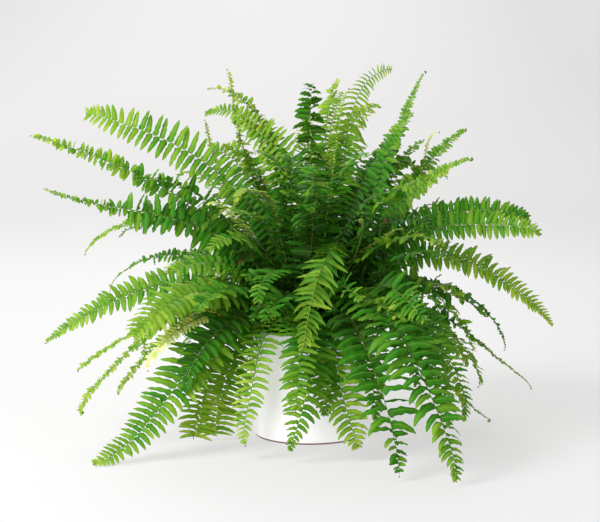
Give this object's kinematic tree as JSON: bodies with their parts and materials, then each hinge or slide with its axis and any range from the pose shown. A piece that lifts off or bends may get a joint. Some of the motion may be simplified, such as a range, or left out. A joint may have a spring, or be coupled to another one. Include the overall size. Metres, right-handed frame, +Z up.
{
  "type": "potted fern",
  "caption": "Bushy fern with long arching, leafy fronds that spread and hang all round a plain white cylindrical pot.",
  "frame": {"origin": "centre of the pot's flat underside", "axes": "+Z up along the pot's axis, -Y towards the side that the picture shows, +X to its right"},
  "size_m": [0.7897, 0.6957, 0.5616],
  "materials": {
    "pot_glaze": "smooth white glaze with an unglazed brown foot",
    "potting_mix": "damp dark crumbs",
    "fern_leaf": "satin leaf, translucent against the light",
    "young_leaf": "soft yellow-green leaf"
  },
  "bodies": {
    "root": {"pot": "pot_glaze", "soil": "potting_mix", "frond_01": "fern_leaf", "frond_02": "fern_leaf", "frond_03": "fern_leaf", "frond_04": "fern_leaf", "frond_05": "fern_leaf", "frond_06": "fern_leaf", "frond_07": "fern_leaf", "frond_08": "fern_leaf", "frond_09": "fern_leaf", "frond_10": "fern_leaf", "frond_11": "fern_leaf", "frond_12": "fern_leaf", "frond_13": "fern_leaf", "frond_14": "fern_leaf", "frond_15": "fern_leaf", "frond_16": "fern_leaf", "frond_17": "fern_leaf", "frond_18": "fern_leaf", "frond_19": "fern_leaf", "frond_20": "fern_leaf", "frond_21": "fern_leaf", "frond_22": "fern_leaf", "frond_23": "fern_leaf", "frond_24": "fern_leaf", "frond_25": "fern_leaf", "frond_26": "fern_leaf", "frond_27": "fern_leaf", "frond_28": "fern_leaf", "frond_29": "fern_leaf", "frond_30": "fern_leaf", "frond_31": "fern_leaf", "frond_32": "fern_leaf", "frond_33": "fern_leaf", "frond_34": "fern_leaf", "frond_35": "fern_leaf", "frond_36": "fern_leaf", "frond_37": "fern_leaf", "frond_38": "fern_leaf", "frond_39": "fern_leaf", "frond_tuft_01": "fern_leaf", "frond_tuft_02": "fern_leaf", "frond_tuft_03": "fern_leaf", "frond_tuft_04": "fern_leaf", "frond_tuft_05": "fern_leaf", "frond_tuft_06": "fern_leaf", "frond_tuft_07": "fern_leaf", "frond_tuft_08": "fern_leaf", "frond_tuft_09": "fern_leaf", "frond_tuft_10": "fern_leaf", "frond_tuft_11": "fern_leaf", "frond_tuft_12": "fern_leaf", "frond_tuft_13": "fern_leaf", "frond_tuft_14": "fern_leaf", "frond_tuft_15": "fern_leaf", "frond_tuft_16": "fern_leaf", "frond_tuft_17": "fern_leaf", "young_frond_1": "young_leaf", "young_frond_2": "young_leaf"}
  },
  "joints": []
}
